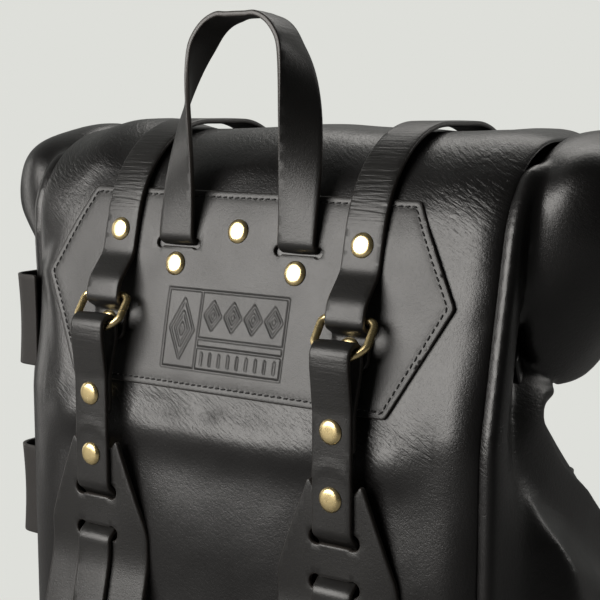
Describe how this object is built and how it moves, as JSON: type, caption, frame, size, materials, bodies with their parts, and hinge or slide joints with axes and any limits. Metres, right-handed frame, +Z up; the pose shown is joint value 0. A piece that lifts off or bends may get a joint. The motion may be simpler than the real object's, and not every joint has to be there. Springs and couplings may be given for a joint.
{
  "type": "leather backpack",
  "caption": "Roll-top leather backpack with riveted straps, ring-hung shoulder pads, arched carry handle, front pocket and side sleeves.",
  "frame": {"origin": "middle of the base where it stands, on the floor plane", "axes": "+Z up, the wearer's side faces -Y, the pocket side faces +Y, +X is to the right when looking at the wearer's side"},
  "size_m": [0.436, 0.2482, 0.494],
  "materials": {
    "leather_body": "satin",
    "leather_strap": "matte",
    "brass": "polished",
    "board": "matte"
  },
  "bodies": {
    "bag": {"base_panel": "leather_body", "base_board": "board", "back_panel": "leather_body", "front_panel": "leather_body", "gusset_left": "leather_body", "gusset_right": "leather_body", "rolled_collar": "leather_body", "back_patch": "leather_strap", "handle_ends": "leather_strap", "handle_rivets": "brass", "centre_rivet": "brass", "closure_strap_left": "leather_strap", "closure_strap_right": "leather_strap", "closure_rivets_left": "brass", "closure_rivets_right": "brass", "front_pocket": "leather_body", "pocket_stud_post": "brass", "closure_studs": "brass", "side_sleeve_upper": "leather_strap", "side_sleeve_lower": "leather_strap", "sleeve_rivets": "brass", "anchor_tab_left": "leather_strap", "anchor_tab_right": "leather_strap", "anchor_rivets": "brass", "anchor_studs": "brass"},
    "handle": {"carry_handle": "leather_strap"},
    "ring_left": {"d_ring_left": "brass"},
    "ring_right": {"d_ring_right": "brass"},
    "shoulder_left": {"shoulder_strap_left": "leather_strap", "shoulder_pad_left": "leather_strap", "hanger_rivets_left": "brass"},
    "shoulder_right": {"shoulder_strap_right": "leather_strap", "shoulder_pad_right": "leather_strap", "hanger_rivets_right": "brass"},
    "tail_left": {"closure_tail_left": "leather_strap"},
    "tail_right": {"closure_tail_right": "leather_strap"},
    "flap": {"pocket_flap": "leather_body", "pocket_stud_cap": "brass"}
  },
  "joints": [
    {"name": "handle_swing", "type": "hinge", "parent": "bag", "child": "handle", "pos_m": [0, -0.06987, 0.37788], "axis": [1, 0, 0], "range_deg": [-3, 60], "stiffness_Nm_per_rad": 0.12},
    {"name": "ring_swing_left", "type": "hinge", "parent": "bag", "child": "ring_left", "pos_m": [-0.077, -0.0811, 0.34661], "axis": [-1, 0, 0], "range_deg": [0, 50]},
    {"name": "shoulder_swing_left", "type": "hinge", "parent": "ring_left", "child": "shoulder_left", "pos_m": [-0.077, -0.09209, 0.3309], "axis": [-1, 0, 0], "range_deg": [0, 60]},
    {"name": "tail_lift_left", "type": "hinge", "parent": "bag", "child": "tail_left", "pos_m": [-0.077, 0.0781, 0.3847], "axis": [1, 0, 0], "range_deg": [0, 110]},
    {"name": "ring_swing_right", "type": "hinge", "parent": "bag", "child": "ring_right", "pos_m": [0.077, -0.0811, 0.34661], "axis": [-1, 0, 0], "range_deg": [0, 50]},
    {"name": "shoulder_swing_right", "type": "hinge", "parent": "ring_right", "child": "shoulder_right", "pos_m": [0.077, -0.09209, 0.3309], "axis": [-1, 0, 0], "range_deg": [0, 60]},
    {"name": "tail_lift_right", "type": "hinge", "parent": "bag", "child": "tail_right", "pos_m": [0.077, 0.0781, 0.3847], "axis": [1, 0, 0], "range_deg": [0, 110]},
    {"name": "flap_lift", "type": "hinge", "parent": "bag", "child": "flap", "pos_m": [0, 0.0765, 0.239], "axis": [1, 0, 0], "range_deg": [0, 105]}
  ]
}
